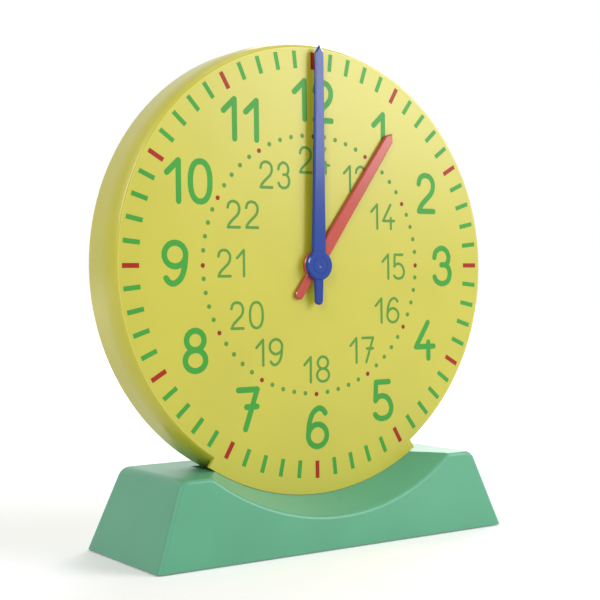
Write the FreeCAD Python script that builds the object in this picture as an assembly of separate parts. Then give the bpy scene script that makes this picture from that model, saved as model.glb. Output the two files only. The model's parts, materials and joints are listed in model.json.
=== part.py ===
import FreeCAD, Part
import math
import os

from FreeCAD import Vector

# Geared teaching clock: a drum-shaped case with a printed dial, seated in a moulded stand.
# A knob behind the case turns the minute hand, and two pairs of gears turn the hour hand
# at one twelfth of its speed.
# Millimetres. +Z is up, the dial faces -Y and +X is to the right of somebody reading it.
# The origin is on the floor under the middle of the stand.
# "behind" is a distance measured backwards from the front face of the dial.

os.makedirs("parts", exist_ok=True)

# Stand
stand_length = 295.1
stand_depth = 108.0
stand_height = 57.3
stand_end_lean = 22.0
stand_front_lean = 7.3
stand_back_lean = 10.4
stand_wall = 3.0
stand_edge_radius = 3.0
stand_end_edge_radius = 9.0

# Scoop in front of the dial, which keeps the stand clear of the sixth hour: a flared cone.
# At this run in front of the dial its middle has dropped and its radius has grown by the next two.
scoop_run = 27.0
scoop_drop = 1.0
scoop_flare = 9.1
# The cutting shape runs on past the front of the stand by this many scoop runs
scoop_overrun = 1.6

# Floor plate, feet and their screws
floor_thickness = 3.0
floor_clearance = 0.3
foot_radius = 9.0
foot_thickness = 2.0
foot_proud = 1.0
foot_edge_radius = 0.5
foot_inset_x = 20.0
foot_inset_y = 16.0
floor_screw_inset_x = 39.0
floor_screw_inset_y = 24.0
floor_post_radius = 5.0
floor_screw_radius = 1.75
floor_screw_head_radius = 3.4
floor_screw_head_height = 1.4
floor_screw_length = 14.0
screw_head_clearance = 0.1

# Every screw head: its rounded rim and cross slot, as shares of the head's height and radius
screw_rim_share = 0.45
screw_slot_depth_share = 0.5
screw_slot_length_share = 1.1
screw_slot_width_share = 0.3

# Case
case_radius = 161.5
case_depth = 34.5
case_wall = 2.5
case_sink = 20.1
dial_front_y = -20.9
dial_thickness = 2.5
# The rim turns back from the dial in a quarter of an ellipse, this wide and this deep
rim_turn_width = 5.0
rim_turn_depth = 15.0
seat_back_clearance = 0.3

# Lip: the flush tongue of the dial that covers the joint with the stand
lip_overhang = 3.5
lip_half_angle = 33.0
lip_depth = 3.0
lip_clearance = 0.25

# Screws that hold the case down in its seat
case_screw_offset = 45.0
case_screw_behind = 22.0
case_screw_radius = 2.0
case_screw_head_radius = 4.0
case_screw_head_height = 2.6
case_screw_grip = 11.0
case_screw_bite = 10.0
case_boss_radius = 5.5
case_boss_height = 13.0
case_washer_radius = 5.5
case_washer_thickness = 1.0
stand_boss_radius = 7.0

# Back cover
cover_thickness = 2.5
cover_clearance = 0.3
cover_screw_count = 6
cover_screw_inset = 15.0
cover_screw_radius = 1.5
cover_screw_head_radius = 3.0
cover_screw_head_height = 1.8
cover_screw_length = 12.0
cover_boss_radius = 4.5
cover_hub_radius = 10.0
cover_hub_height = 3.0

# Gear train
gear_module = 1.5
pressure_angle = 25.0
gear_backlash = 0.25
# Depth of a tooth space below the pitch circle, in modules
gear_dedendum = 1.25
gear_flank_steps = 5
cannon_teeth = 15
minute_wheel_teeth = 45
relay_pinion_teeth = 12
hour_wheel_teeth = 48
centre_distance = gear_module * (cannon_teeth + minute_wheel_teeth) / 2
wheel_width = 4.0
pinion_width = 5.0
wheel_rim = 4.0
wheel_web = 2.0
wheel_hub_radius = 9.0
relay_hub_radius = 6.75
wheel_hole_count = 6
wheel_hole_radius = 4.5
hour_wheel_shoulder = 0.7
gear_gap = 0.6

# Shafts and running clearances
running_clearance = 0.05
end_clearance = 0.2
arbor_radius = 3.0
arbor_flat_width = 4.8
pipe_radius = 5.0
stud_radius = 2.5
stud_boss_radius = 6.0
stud_boss_height = 1.8
stud_embed = 1.5

# Bushes
bush_flange_thickness = 0.6
dial_bush_radius = 7.0
dial_bush_flange_radius = 8.5
dial_boss_radius = 10.5
dial_boss_height = 1.6
arbor_bush_radius = 5.5
arbor_bush_flange_radius = 7.5

# Bridge plate, which carries the back ends of the arbor and the stud
bridge_behind = 18.5
bridge_thickness = 2.5
bridge_post_radius = 4.5
bridge_post_clearance = 3.0
# The posts stand this far above the arbor and below the stud
bridge_post_reach = 15.75
bridge_corner_radius = 9.0
bridge_screw_radius = 1.25
bridge_screw_head_radius = 2.6
bridge_screw_head_height = 1.6
bridge_screw_length = 9.0

# Clip and friction spring
clip_thickness = 0.8
clip_radius = 6.0
clip_groove_radius = 2.4
clip_opening_angle = 70.0
spring_thickness = 0.4
spring_radius = 6.5

# Hands
minute_hand_turn = 0.9
minute_hand_reach = 158.4
minute_hand_tail = 28.4
minute_hand_width = 11.9
minute_hand_tip_width = 6.9
minute_tail_width = 8.2
minute_tail_end_width = 6.8
hour_hand_turn = 35.5
hour_hand_reach = 121.5
hour_hand_tail = 29.3
hour_hand_width = 11.1
hour_hand_tip_width = 8.1
hour_tail_width = 7.3
hour_tail_end_width = 7.0
hand_tip_length = 5.0
hand_thickness = 2.2
hand_bevel = 1.0
hand_hub_radius = 10.7
hand_hub_bevel = 0.9
hour_hub_gap = 0.8
hour_hub_thickness = 2.4
hour_blade_lift = 0.1
hand_gap = 0.4
minute_hub_thickness = 3.8
minute_blade_lift = 0.8
cap_radius = 6.0
recess_clearance = 0.2
cap_thickness = 1.3
cap_dimple_radius = 1.6
cap_dimple_depth = 0.6

# Setting knob
knob_radius = 22.0
knob_thickness = 11.0
knob_hub_radius = 9.0
knob_hub_height = 2.2
knob_edge_radius = 2.0
knob_grip_count = 20
knob_grip_radius = 2.4
knob_grip_depth = 1.2
knob_recess_depth = 3.0
knob_screw_radius = 1.25
knob_screw_head_radius = 3.5
knob_screw_head_height = 2.0
knob_screw_length = 9.0

# Places that follow from the sizes above
stand_bottom = foot_proud
stand_top = stand_bottom + stand_height
case_centre = stand_top + case_radius - case_sink
dial_flat_radius = case_radius - rim_turn_width
lip_radius = case_radius + lip_overhang
scoop_radius = lip_radius + lip_clearance
case_inner_radius = case_radius - case_wall
cover_front = case_depth - cover_thickness
cover_screw_circle = case_radius - cover_screw_inset
pitch_radius = {teeth: gear_module * teeth / 2
                for teeth in (cannon_teeth, minute_wheel_teeth, relay_pinion_teeth, hour_wheel_teeth)}
hour_wheel_front = dial_thickness + dial_boss_height + end_clearance + hour_wheel_shoulder
relay_pinion_front = hour_wheel_front - (pinion_width - wheel_width) / 2
cannon_front = hour_wheel_front + pinion_width + gear_gap
minute_wheel_front = cannon_front + (pinion_width - wheel_width) / 2
cannon_back = cannon_front + pinion_width
clip_front = bridge_behind + bridge_thickness + end_clearance
hour_hub_back = -hour_hub_gap
hour_hub_front = hour_hub_back - hour_hub_thickness
minute_hub_back = hour_hub_front - hand_gap
minute_hub_front = minute_hub_back - minute_hub_thickness
cap_recess_depth = cap_thickness + end_clearance
arbor_front = minute_hub_front + cap_recess_depth
knob_front = case_depth + bush_flange_thickness + 2 * end_clearance
knob_back = knob_front + knob_hub_height + knob_thickness
knob_seat = knob_back - knob_recess_depth
arbor_back = knob_seat - end_clearance
stud_front = dial_thickness - stud_embed
stud_back = bridge_behind + bridge_thickness

BACKWARDS = Vector(0, 1, 0)
FORWARDS = Vector(0, -1, 0)
UPWARDS = Vector(0, 0, 1)

# For picking edges: how close counts as the same place, and how far an edge along a direction may lean
same_place = 0.001
greatest_lean_angle = 25.0


# Placing and simple solids

def dial_point(x, z, behind):
    """Point given from the centre of the dial, x to the right, z up."""
    return Vector(x, dial_front_y + behind, case_centre + z)


def polar(radius, turn, behind=0.0):
    """Point at a radius and a clockwise angle from twelve o'clock."""
    angle = math.radians(turn)
    return dial_point(radius * math.sin(angle), radius * math.cos(angle), behind)


def disc(radius, behind, length, at=(0.0, 0.0)):
    return Part.makeCylinder(radius, length, dial_point(at[0], at[1], behind), BACKWARDS)


def ring(outer, inner, behind, length, at=(0.0, 0.0)):
    return disc(outer, behind, length, at).cut(disc(inner, behind, length, at))


def post(radius, x, y, low, high):
    return Part.makeCylinder(radius, high - low, Vector(x, y, low), UPWARDS)


def turned(shape, turn):
    """Turn a solid clockwise about the dial's axis."""
    shape.rotate(dial_point(0, 0, 0), BACKWARDS, turn)
    return shape


def mirrored_places(x, y):
    return [(side * x, face * y) for side in (-1, 1) for face in (-1, 1)]


def section_point(radius, behind):
    """Point of a section that is revolved about the dial's axis."""
    return dial_point(radius, 0, behind)


def runs_along(edge, direction):
    least = math.cos(math.radians(greatest_lean_angle))
    return abs(edge.tangentAt(edge.FirstParameter).dot(direction)) > least


def joined(solids):
    shape = solids[0]
    for solid in solids[1:]:
        shape = shape.fuse(solid)
    return shape.removeSplitter()


def pan_screw(tip, direction, shank_radius, length, head_radius, head_height):
    """Screw whose head is seated at tip - direction * length."""
    seat = tip - direction * length
    shank = Part.makeCylinder(shank_radius, length, seat, direction)
    head = Part.makeCylinder(head_radius, head_height, seat, direction * -1)
    rim = [edge for edge in head.Edges if edge.Curve.TypeId == "Part::GeomCircle"
           and (edge.Curve.Center - seat).Length > head_height / 2]
    head = head.makeFillet(head_height * screw_rim_share, rim)
    slot_depth = head_height * screw_slot_depth_share
    slot_length = head_radius * screw_slot_length_share
    slot_width = head_radius * screw_slot_width_share
    top = seat - direction * head_height
    standing = FreeCAD.Placement(top, FreeCAD.Rotation(UPWARDS, direction))
    for turn in (0, 90):
        slot = Part.makeBox(slot_length, slot_width, 2 * slot_depth,
                            Vector(-slot_length / 2, -slot_width / 2, -slot_depth))
        slot.rotate(Vector(0, 0, 0), UPWARDS, turn)
        slot.Placement = standing.multiply(slot.Placement)
        head = head.cut(slot)
    return shank.fuse(head)


# Stand

def stand_block(low, high, inset):
    """The stand's leaning block between two heights, with its sides moved in."""
    def sides(height):
        share = (height - stand_bottom) / stand_height
        half_length = stand_length / 2 - stand_end_lean * share - inset
        front = -stand_depth / 2 + stand_front_lean * share + inset
        back = stand_depth / 2 - stand_back_lean * share - inset
        return half_length, front, back

    half_under, front_under, back_under = sides(low)
    half_over, front_over, back_over = sides(high)
    # The wedge grows along its own Y, so it is made lying down and stood up
    block = Part.makeWedge(-half_under, low, -back_under, -back_over, -half_over,
                           half_under, high, -front_under, -front_over, half_over)
    block.rotate(Vector(0, 0, 0), Vector(1, 0, 0), 90)
    return block


def seat_space(grow):
    """Room for the case, its lip and the scoop in front, grown by a wall thickness."""
    near = Part.Circle(dial_point(0, 0, 0), BACKWARDS, scoop_radius + grow)
    far_centre = dial_point(0, -scoop_drop * scoop_overrun, -scoop_run * scoop_overrun)
    far = Part.Circle(far_centre, BACKWARDS, scoop_radius + scoop_flare * scoop_overrun + grow)
    scoop = Part.makeLoft([Part.Wire(near.toShape()), Part.Wire(far.toShape())], True, True)
    seat = disc(scoop_radius + grow, 0, case_depth + seat_back_clearance + grow)
    return [scoop, seat]


def stand_outside():
    """The block with its seat and scoop, then one rounding up the corners and along the top and scoop."""
    block = stand_block(stand_bottom, stand_top, 0.0)
    top_ends = [edge for edge in block.Edges if runs_along(edge, BACKWARDS)
                and abs(edge.CenterOfMass.z - stand_top) < same_place]
    block = block.makeFillet(stand_end_edge_radius, top_ends)
    for space in seat_space(0.0):
        block = block.cut(space)

    def on_front(point):
        lean = stand_front_lean * (point.z - stand_bottom) / stand_height
        return abs(point.y + stand_depth / 2 - lean) < same_place

    straight = [edge for edge in block.Edges if edge.Curve.TypeId == "Part::GeomLine"]
    corners = [edge for edge in straight if runs_along(edge, UPWARDS)
               and edge.Length > stand_height / 2]
    scoop_edge = [edge for edge in block.Edges if edge.Curve.TypeId == "Part::GeomBSplineCurve"
                  and all(on_front(vertex.Point) for vertex in edge.Vertexes)]
    return block.makeFillet(stand_edge_radius, corners + scoop_edge)


def case_screw_places():
    y = dial_front_y + case_screw_behind
    seat = case_centre - math.sqrt(case_radius ** 2 - case_screw_offset ** 2)
    return [(side * case_screw_offset, y, seat) for side in (-1, 1)]


def floor_screw_places():
    return mirrored_places(stand_length / 2 - floor_screw_inset_x, stand_depth / 2 - floor_screw_inset_y)


def foot_places():
    return mirrored_places(stand_length / 2 - foot_inset_x, stand_depth / 2 - foot_inset_y)


def stand_shell():
    hollow = stand_block(stand_bottom - stand_wall, stand_top - stand_wall, stand_wall)
    for space in seat_space(stand_wall):
        hollow = hollow.cut(space)
    for x, y in floor_screw_places():
        hollow = hollow.cut(post(floor_post_radius, x, y, stand_bottom + floor_thickness, stand_top))
    shell = stand_outside().cut(hollow)
    # The bosses of the case screws rise through the seat's gap and carry the case
    case_room = disc(case_radius, 0, case_depth)
    for x, y, seat in case_screw_places():
        boss = post(stand_boss_radius, x, y, seat - case_screw_grip, seat + stand_boss_radius)
        shell = shell.fuse(boss.cut(case_room))
    for x, y in floor_screw_places():
        low = stand_bottom + floor_thickness
        shell = shell.cut(post(floor_screw_radius, x, y, low, low + floor_screw_length))
    for x, y, seat in case_screw_places():
        shell = shell.cut(post(case_screw_radius, x, y, seat - case_screw_grip, stand_top))
    return shell


def stand_floor():
    plate = stand_block(stand_bottom, stand_bottom + floor_thickness, stand_wall + floor_clearance)
    for x, y in foot_places():
        plate = plate.cut(post(foot_radius, x, y, stand_bottom, foot_thickness))
    for x, y in floor_screw_places():
        plate = plate.cut(post(floor_screw_radius, x, y, stand_bottom, stand_bottom + floor_thickness))
        plate = plate.cut(post(floor_screw_head_radius + screw_head_clearance, x, y, stand_bottom,
                               stand_bottom + floor_screw_head_height + screw_head_clearance))
    return plate


def rubber_feet():
    feet = []
    for x, y in foot_places():
        foot = post(foot_radius, x, y, 0.0, foot_thickness)
        rim = [edge for edge in foot.Edges if edge.Closed and abs(edge.CenterOfMass.z) < same_place]
        feet.append(foot.makeFillet(foot_edge_radius, rim))
    return Part.makeCompound(feet)


def stand_floor_screws():
    head_room = floor_screw_head_height + screw_head_clearance
    seat = stand_bottom + head_room
    length = floor_screw_length + floor_thickness - head_room - end_clearance
    return Part.makeCompound([
        pan_screw(Vector(x, y, seat + length), UPWARDS, floor_screw_radius, length,
                  floor_screw_head_radius, floor_screw_head_height)
        for x, y in floor_screw_places()])


def case_hold_screws():
    grip = case_screw_grip + case_washer_thickness
    length = grip + case_screw_bite
    return Part.makeCompound([
        pan_screw(Vector(x, y, seat - grip + length), UPWARDS, case_screw_radius, length,
                  case_screw_head_radius, case_screw_head_height)
        for x, y, seat in case_screw_places()])


def case_hold_washers():
    washers = []
    for x, y, seat in case_screw_places():
        low = seat - case_screw_grip - case_washer_thickness
        high = seat - case_screw_grip
        washers.append(post(case_washer_radius, x, y, low, high).cut(
            post(case_screw_radius, x, y, low, high)))
    return Part.makeCompound(washers)


# Case

def cover_screw_turns():
    step = 360.0 / cover_screw_count
    return [step * (number + 0.5) for number in range(cover_screw_count)]


def cover_screw_place(turn):
    point = polar(cover_screw_circle, turn)
    return (point.x, point.z - case_centre)


def bridge_post_places():
    half_width = pitch_radius[hour_wheel_teeth] + gear_module + bridge_post_radius + bridge_post_clearance
    return [(side * half_width, height) for side in (-1, 1)
            for height in (bridge_post_reach, -centre_distance - bridge_post_reach)]


def case_front():
    """Dial, rim and side wall in one moulding, with its lip, bosses and posts."""
    dial_edge = section_point(dial_flat_radius, 0)
    wall_front = section_point(case_radius, rim_turn_depth)
    rim = Part.Ellipse(dial_edge, wall_front, section_point(dial_flat_radius, rim_turn_depth))
    wall_back = section_point(case_radius, case_depth)
    inner_back = section_point(case_inner_radius, case_depth)
    inner_front = section_point(case_inner_radius, rim_turn_depth)
    dial_back = section_point(dial_flat_radius - case_wall, dial_thickness)
    outline = [
        Part.LineSegment(section_point(0, 0), dial_edge),
        Part.ArcOfEllipse(rim, 0, math.pi / 2),
        Part.LineSegment(wall_front, wall_back),
        Part.LineSegment(wall_back, inner_back),
        Part.LineSegment(inner_back, inner_front),
        Part.LineSegment(inner_front, dial_back),
        Part.LineSegment(dial_back, section_point(0, dial_thickness)),
        Part.LineSegment(section_point(0, dial_thickness), section_point(0, 0)),
    ]
    section = Part.Face(Part.Wire([line.toShape() for line in outline]))
    shell = section.revolve(dial_point(0, 0, 0), BACKWARDS, 360)

    wedge = Part.makeCylinder(lip_radius, lip_depth, dial_point(0, 0, 0), BACKWARDS)
    reach = 2 * lip_radius
    left = polar(reach, 180 - lip_half_angle)
    right = polar(reach, 180 + lip_half_angle)
    below = dial_point(0, -reach * 2, 0)
    sector = Part.Face(Part.makePolygon([dial_point(0, 0, 0), left, below, right, dial_point(0, 0, 0)]))
    lip = wedge.common(sector.extrude(BACKWARDS * lip_depth))
    lip = lip.cut(disc(case_inner_radius - rim_turn_width, 0, lip_depth))

    boss_length = cover_front - dial_thickness
    additions = [lip]
    additions += [disc(cover_boss_radius, dial_thickness, boss_length, cover_screw_place(turn))
                  for turn in cover_screw_turns()]
    additions += [disc(bridge_post_radius, dial_thickness, bridge_behind - dial_thickness, place)
                  for place in bridge_post_places()]
    additions.append(disc(dial_boss_radius, dial_thickness, dial_boss_height))
    additions.append(disc(stud_boss_radius, dial_thickness, stud_boss_height, (0, -centre_distance)))
    round_case = disc(case_radius, dial_thickness, case_depth - dial_thickness)
    additions += [post(case_boss_radius, x, y, seat - case_wall, seat + case_boss_height).common(round_case)
                  for x, y, seat in case_screw_places()]
    shell = joined([shell] + additions)

    shell = shell.cut(disc(dial_bush_radius, 0, dial_thickness + dial_boss_height))
    shell = shell.cut(disc(stud_radius, stud_front, dial_thickness + stud_boss_height, (0, -centre_distance)))
    for turn in cover_screw_turns():
        depth = cover_screw_length - cover_thickness + end_clearance
        shell = shell.cut(disc(cover_screw_radius, cover_front - depth, depth, cover_screw_place(turn)))
    for place in bridge_post_places():
        depth = bridge_screw_length - bridge_thickness + end_clearance
        shell = shell.cut(disc(bridge_screw_radius, bridge_behind - depth, depth, place))
    for x, y, seat in case_screw_places():
        shell = shell.cut(post(case_screw_radius, x, y, seat - case_screw_grip,
                               seat + case_screw_bite + end_clearance))
    return shell


def case_back():
    cover = disc(case_inner_radius - cover_clearance, cover_front, cover_thickness)
    cover = joined([cover, disc(cover_hub_radius, cover_front - cover_hub_height, cover_hub_height)])
    bush_length = cover_hub_height + cover_thickness
    cover = cover.cut(disc(arbor_bush_radius, cover_front - cover_hub_height, bush_length))
    for turn in cover_screw_turns():
        cover = cover.cut(disc(cover_screw_radius, cover_front, cover_thickness, cover_screw_place(turn)))
    return cover


def case_back_screws():
    screws = []
    for turn in cover_screw_turns():
        x, z = cover_screw_place(turn)
        screws.append(pan_screw(dial_point(x, z, case_depth - cover_screw_length), FORWARDS,
                                cover_screw_radius, cover_screw_length,
                                cover_screw_head_radius, cover_screw_head_height))
    return Part.makeCompound(screws)


# Bushes, bridge and stud

def dial_bush():
    sleeve = disc(dial_bush_radius, 0, dial_thickness + dial_boss_height)
    flange = disc(dial_bush_flange_radius, -bush_flange_thickness, bush_flange_thickness)
    bore = disc(pipe_radius + running_clearance, -bush_flange_thickness,
                bush_flange_thickness + dial_thickness + dial_boss_height)
    return joined([sleeve, flange]).cut(bore)


def back_bush():
    front = cover_front - cover_hub_height
    sleeve = disc(arbor_bush_radius, front, case_depth - front)
    flange = disc(arbor_bush_flange_radius, case_depth, bush_flange_thickness)
    bore = disc(arbor_radius + running_clearance, front, case_depth - front + bush_flange_thickness)
    return joined([sleeve, flange]).cut(bore)


def bridge_bush():
    flange_front = bridge_behind - bush_flange_thickness
    sleeve = disc(arbor_bush_radius, bridge_behind, bridge_thickness)
    flange = disc(arbor_bush_flange_radius, flange_front, bush_flange_thickness)
    bore = disc(arbor_radius + running_clearance, flange_front, bush_flange_thickness + bridge_thickness)
    return joined([sleeve, flange]).cut(bore)


def bridge_plate():
    places = bridge_post_places()
    left = min(x for x, z in places) - bridge_corner_radius
    right = max(x for x, z in places) + bridge_corner_radius
    low = min(z for x, z in places) - bridge_corner_radius
    high = max(z for x, z in places) + bridge_corner_radius
    plate = Part.makeBox(right - left, bridge_thickness, high - low, dial_point(left, low, bridge_behind))
    corners = [edge for edge in plate.Edges if runs_along(edge, BACKWARDS)]
    plate = plate.makeFillet(bridge_corner_radius, corners)
    plate = plate.cut(disc(arbor_bush_radius, bridge_behind, bridge_thickness))
    plate = plate.cut(disc(stud_radius, bridge_behind, bridge_thickness, (0, -centre_distance)))
    for place in places:
        plate = plate.cut(disc(bridge_screw_radius, bridge_behind, bridge_thickness, place))
    return plate


def bridge_screws():
    tip = bridge_behind + bridge_thickness - bridge_screw_length
    return Part.makeCompound([
        pan_screw(dial_point(x, z, tip), FORWARDS, bridge_screw_radius, bridge_screw_length,
                  bridge_screw_head_radius, bridge_screw_head_height)
        for x, z in bridge_post_places()])


def relay_stud():
    return disc(stud_radius, stud_front, stud_back - stud_front, (0, -centre_distance))


def relay_washer():
    front = minute_wheel_front + wheel_width + end_clearance
    return ring(wheel_hub_radius, stud_radius, front, bridge_behind - front, (0, -centre_distance))


# Gears

def gear_outline(teeth, behind, turn, at):
    """Involute outline with one tooth centred at a clockwise angle."""
    pitch = gear_module * teeth / 2
    base = pitch * math.cos(math.radians(pressure_angle))
    tip = pitch + gear_module
    root = pitch - gear_dedendum * gear_module
    half_tooth = (math.pi * gear_module / 2 - gear_backlash / 2) / (2 * pitch)
    start = max(base, root)

    def involute(radius):
        slant = math.acos(min(1.0, base / radius))
        return math.tan(slant) - slant

    def half_angle(radius):
        return half_tooth + involute(pitch) - involute(radius)

    def point(radius, angle):
        return dial_point(at[0] + radius * math.sin(angle), at[1] + radius * math.cos(angle), behind)

    radii = [start + (tip - start) * step / gear_flank_steps for step in range(gear_flank_steps + 1)]
    edges = []
    for tooth in range(teeth):
        middle = math.radians(turn) + 2 * math.pi * tooth / teeth
        following = middle + 2 * math.pi / teeth
        rising = [point(radius, middle - half_angle(radius)) for radius in radii]
        falling = [point(radius, middle + half_angle(radius)) for radius in reversed(radii)]
        foot = half_angle(start)
        if root < base:
            edges.append(Part.LineSegment(point(root, middle - foot), rising[0]))
        for flank in (rising, falling):
            curve = Part.BSplineCurve()
            curve.interpolate(flank)
            if flank is falling:
                edges.append(Part.Arc(rising[-1], point(tip, middle), falling[0]))
            edges.append(curve)
        if root < base:
            edges.append(Part.LineSegment(falling[-1], point(root, middle + foot)))
        edges.append(Part.Arc(point(root, middle + foot), point(root, (middle + following) / 2),
                              point(root, following - foot)))
    return Part.Wire([edge.toShape() for edge in edges])


def spur_gear(teeth, behind, width, turn, at=(0.0, 0.0)):
    return Part.Face(gear_outline(teeth, behind, turn, at)).extrude(BACKWARDS * width)


def webbed_wheel(teeth, behind, turn, at=(0.0, 0.0)):
    """Moulded wheel: toothed rim, thin web with round holes, full-width hub."""
    wheel = spur_gear(teeth, behind, wheel_width, turn, at)
    rim_inside = gear_module * (teeth / 2 - gear_dedendum) - wheel_rim
    relief = (wheel_width - wheel_web) / 2
    for front in (behind, behind + wheel_width - relief):
        wheel = wheel.cut(ring(rim_inside, wheel_hub_radius, front, relief, at))
    hole_circle = (rim_inside + wheel_hub_radius) / 2
    for number in range(wheel_hole_count):
        angle = 2 * math.pi * number / wheel_hole_count
        place = (at[0] + hole_circle * math.sin(angle), at[1] + hole_circle * math.cos(angle))
        wheel = wheel.cut(disc(wheel_hole_radius, behind, wheel_width, place))
    return wheel


def cannon_pinion():
    # A tooth points straight down, at the stud
    pinion = spur_gear(cannon_teeth, cannon_front, pinion_width, 180)
    return pinion.cut(disc(arbor_radius, cannon_front, pinion_width))


def minute_wheel():
    # A space points straight up, at the arbor
    stud_at = (0, -centre_distance)
    wheel = webbed_wheel(minute_wheel_teeth, minute_wheel_front, 180.0 / minute_wheel_teeth, stud_at)
    return wheel.cut(disc(stud_radius + running_clearance, minute_wheel_front, wheel_width, stud_at))


def relay_pinion():
    stud_at = (0, -centre_distance)
    length = minute_wheel_front - relay_pinion_front
    hub = disc(relay_hub_radius, relay_pinion_front, length, stud_at)
    pinion = spur_gear(relay_pinion_teeth, relay_pinion_front, pinion_width,
                       180.0 / relay_pinion_teeth, stud_at)
    pinion = joined([pinion, hub])
    return pinion.cut(disc(stud_radius + running_clearance, relay_pinion_front, length, stud_at))


def hour_wheel():
    wheel = webbed_wheel(hour_wheel_teeth, hour_wheel_front, 180)
    front = hour_hub_front + end_clearance
    pipe = disc(pipe_radius, front, hour_wheel_front - front)
    shoulder_front = dial_thickness + dial_boss_height + end_clearance
    shoulder = disc(dial_bush_radius, shoulder_front, hour_wheel_front - shoulder_front)
    bore = disc(arbor_radius + running_clearance, front, hour_wheel_front + wheel_width - front)
    return joined([wheel, pipe, shoulder]).cut(bore)


# Minute arbor and what turns with it

def arbor_end(front, back):
    """The arbor's round bar with two flats, the shape that fits the hand and the knob."""
    round_bar = disc(arbor_radius, front, back - front)
    flats = Part.makeBox(arbor_flat_width, back - front, 2 * arbor_radius,
                         dial_point(-arbor_flat_width / 2, -arbor_radius, front))
    return round_bar.common(flats)


def minute_arbor():
    hand_end = arbor_end(arbor_front, minute_hub_back)
    knob_end = arbor_end(knob_front, arbor_back)
    arbor = joined([hand_end, disc(arbor_radius, minute_hub_back, knob_front - minute_hub_back), knob_end])
    groove = ring(arbor_radius, clip_groove_radius, clip_front, clip_thickness)
    arbor = arbor.cut(groove)
    depth = knob_screw_length + end_clearance
    return turned(arbor.cut(disc(knob_screw_radius, arbor_back - depth, depth)), minute_hand_turn)


def arbor_clip():
    clip = ring(clip_radius, clip_groove_radius, clip_front, clip_thickness)
    half_mouth = clip_groove_radius * math.sin(math.radians(clip_opening_angle))
    mouth = Part.makeBox(2 * half_mouth, clip_thickness, clip_radius,
                         dial_point(-half_mouth, 0, clip_front))
    return turned(clip.cut(mouth), minute_hand_turn)


def friction_spring():
    """Dished washer pressed between the cannon pinion and the bridge bush."""
    front = cannon_back
    back = bridge_behind - bush_flange_thickness - running_clearance
    inner = arbor_radius + running_clearance
    corners = [section_point(inner, front), section_point(inner, front + spring_thickness),
               section_point(spring_radius, back), section_point(spring_radius, back - spring_thickness)]
    section = Part.Face(Part.makePolygon(corners + corners[:1]))
    return section.revolve(dial_point(0, 0, 0), BACKWARDS, 360)


def hand_strip(width, end_width, reach, end, behind):
    """One arm of a hand along +Z, bevelled on its front edges; its end is pointed or round."""
    half = width / 2
    half_end = end_width / 2
    foot_left = dial_point(-half, 0, behind)
    foot_right = dial_point(half, 0, behind)
    tip = dial_point(0, reach, behind)
    run = reach - (hand_tip_length if end == "pointed" else half_end)
    left = dial_point(-half_end, run, behind)
    right = dial_point(half_end, run, behind)
    lines = [Part.LineSegment(foot_right, foot_left), Part.LineSegment(foot_left, left)]
    if end == "pointed":
        lines += [Part.LineSegment(left, tip), Part.LineSegment(tip, right)]
    else:
        lines += [Part.Arc(left, tip, right)]
    lines.append(Part.LineSegment(right, foot_right))
    strip = Part.Face(Part.Wire([line.toShape() for line in lines])).extrude(BACKWARDS * hand_thickness)
    front_edges = [edge for edge in strip.Edges
                   if all(abs(vertex.Y - foot_left.y) < same_place for vertex in edge.Vertexes)
                   and edge.CenterOfMass.z > case_centre + same_place]
    return strip.makeChamfer(hand_bevel, front_edges)


def hand(width, tip_width, reach, tail_width, tail_end_width, tail, blade_front, hub_front, hub_thickness):
    blade = hand_strip(width, tip_width, reach, "pointed", blade_front)
    counter = turned(hand_strip(tail_width, tail_end_width, tail, "round", blade_front), 180)
    hub = disc(hand_hub_radius, hub_front, hub_thickness)
    rim = [edge for edge in hub.Edges if edge.Closed
           and abs(edge.CenterOfMass.y - dial_front_y - hub_front) < same_place]
    hub = hub.makeChamfer(hand_hub_bevel, rim)
    return joined([hub, blade, counter])


def hour_hand():
    blade_front = hour_hub_back - hour_blade_lift - hand_thickness
    shape = hand(hour_hand_width, hour_hand_tip_width, hour_hand_reach, hour_tail_width,
                 hour_tail_end_width, hour_hand_tail, blade_front, hour_hub_front, hour_hub_thickness)
    return turned(shape.cut(disc(pipe_radius, hour_hub_front, hour_hub_thickness)), hour_hand_turn)


def minute_hand():
    blade_front = minute_hub_back - minute_blade_lift - hand_thickness
    shape = hand(minute_hand_width, minute_hand_tip_width, minute_hand_reach, minute_tail_width,
                 minute_tail_end_width, minute_hand_tail, blade_front, minute_hub_front,
                 minute_hub_thickness)
    shape = shape.cut(disc(cap_radius + recess_clearance, minute_hub_front, cap_recess_depth))
    return turned(shape.cut(arbor_end(arbor_front, minute_hub_back)), minute_hand_turn)


def minute_hand_cap():
    cap = disc(cap_radius, minute_hub_front, cap_thickness + end_clearance)
    cap_face = dial_point(0, 0, minute_hub_front)
    dimple = Part.makeCone(cap_dimple_radius, 0, cap_dimple_depth, cap_face, BACKWARDS)
    return cap.cut(dimple)


def setting_knob():
    hub = disc(knob_hub_radius, knob_front, knob_hub_height)
    body = disc(knob_radius, knob_front + knob_hub_height, knob_thickness)
    rims = [edge for edge in body.Edges if edge.Closed]
    body = body.makeFillet(knob_edge_radius, rims)
    grip_circle = knob_radius + knob_grip_radius - knob_grip_depth
    for number in range(knob_grip_count):
        angle = 2 * math.pi * number / knob_grip_count
        place = (grip_circle * math.sin(angle), grip_circle * math.cos(angle))
        body = body.cut(disc(knob_grip_radius, knob_front, knob_back - knob_front, place))
    knob = joined([body, hub])
    knob = knob.cut(arbor_end(knob_front, knob_back))
    knob = knob.cut(disc(knob_screw_head_radius + recess_clearance, knob_seat, knob_recess_depth))
    return turned(knob, minute_hand_turn)


def knob_screw():
    return pan_screw(dial_point(0, 0, knob_seat - knob_screw_length), FORWARDS, knob_screw_radius,
                     knob_screw_length, knob_screw_head_radius, knob_screw_head_height)


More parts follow.
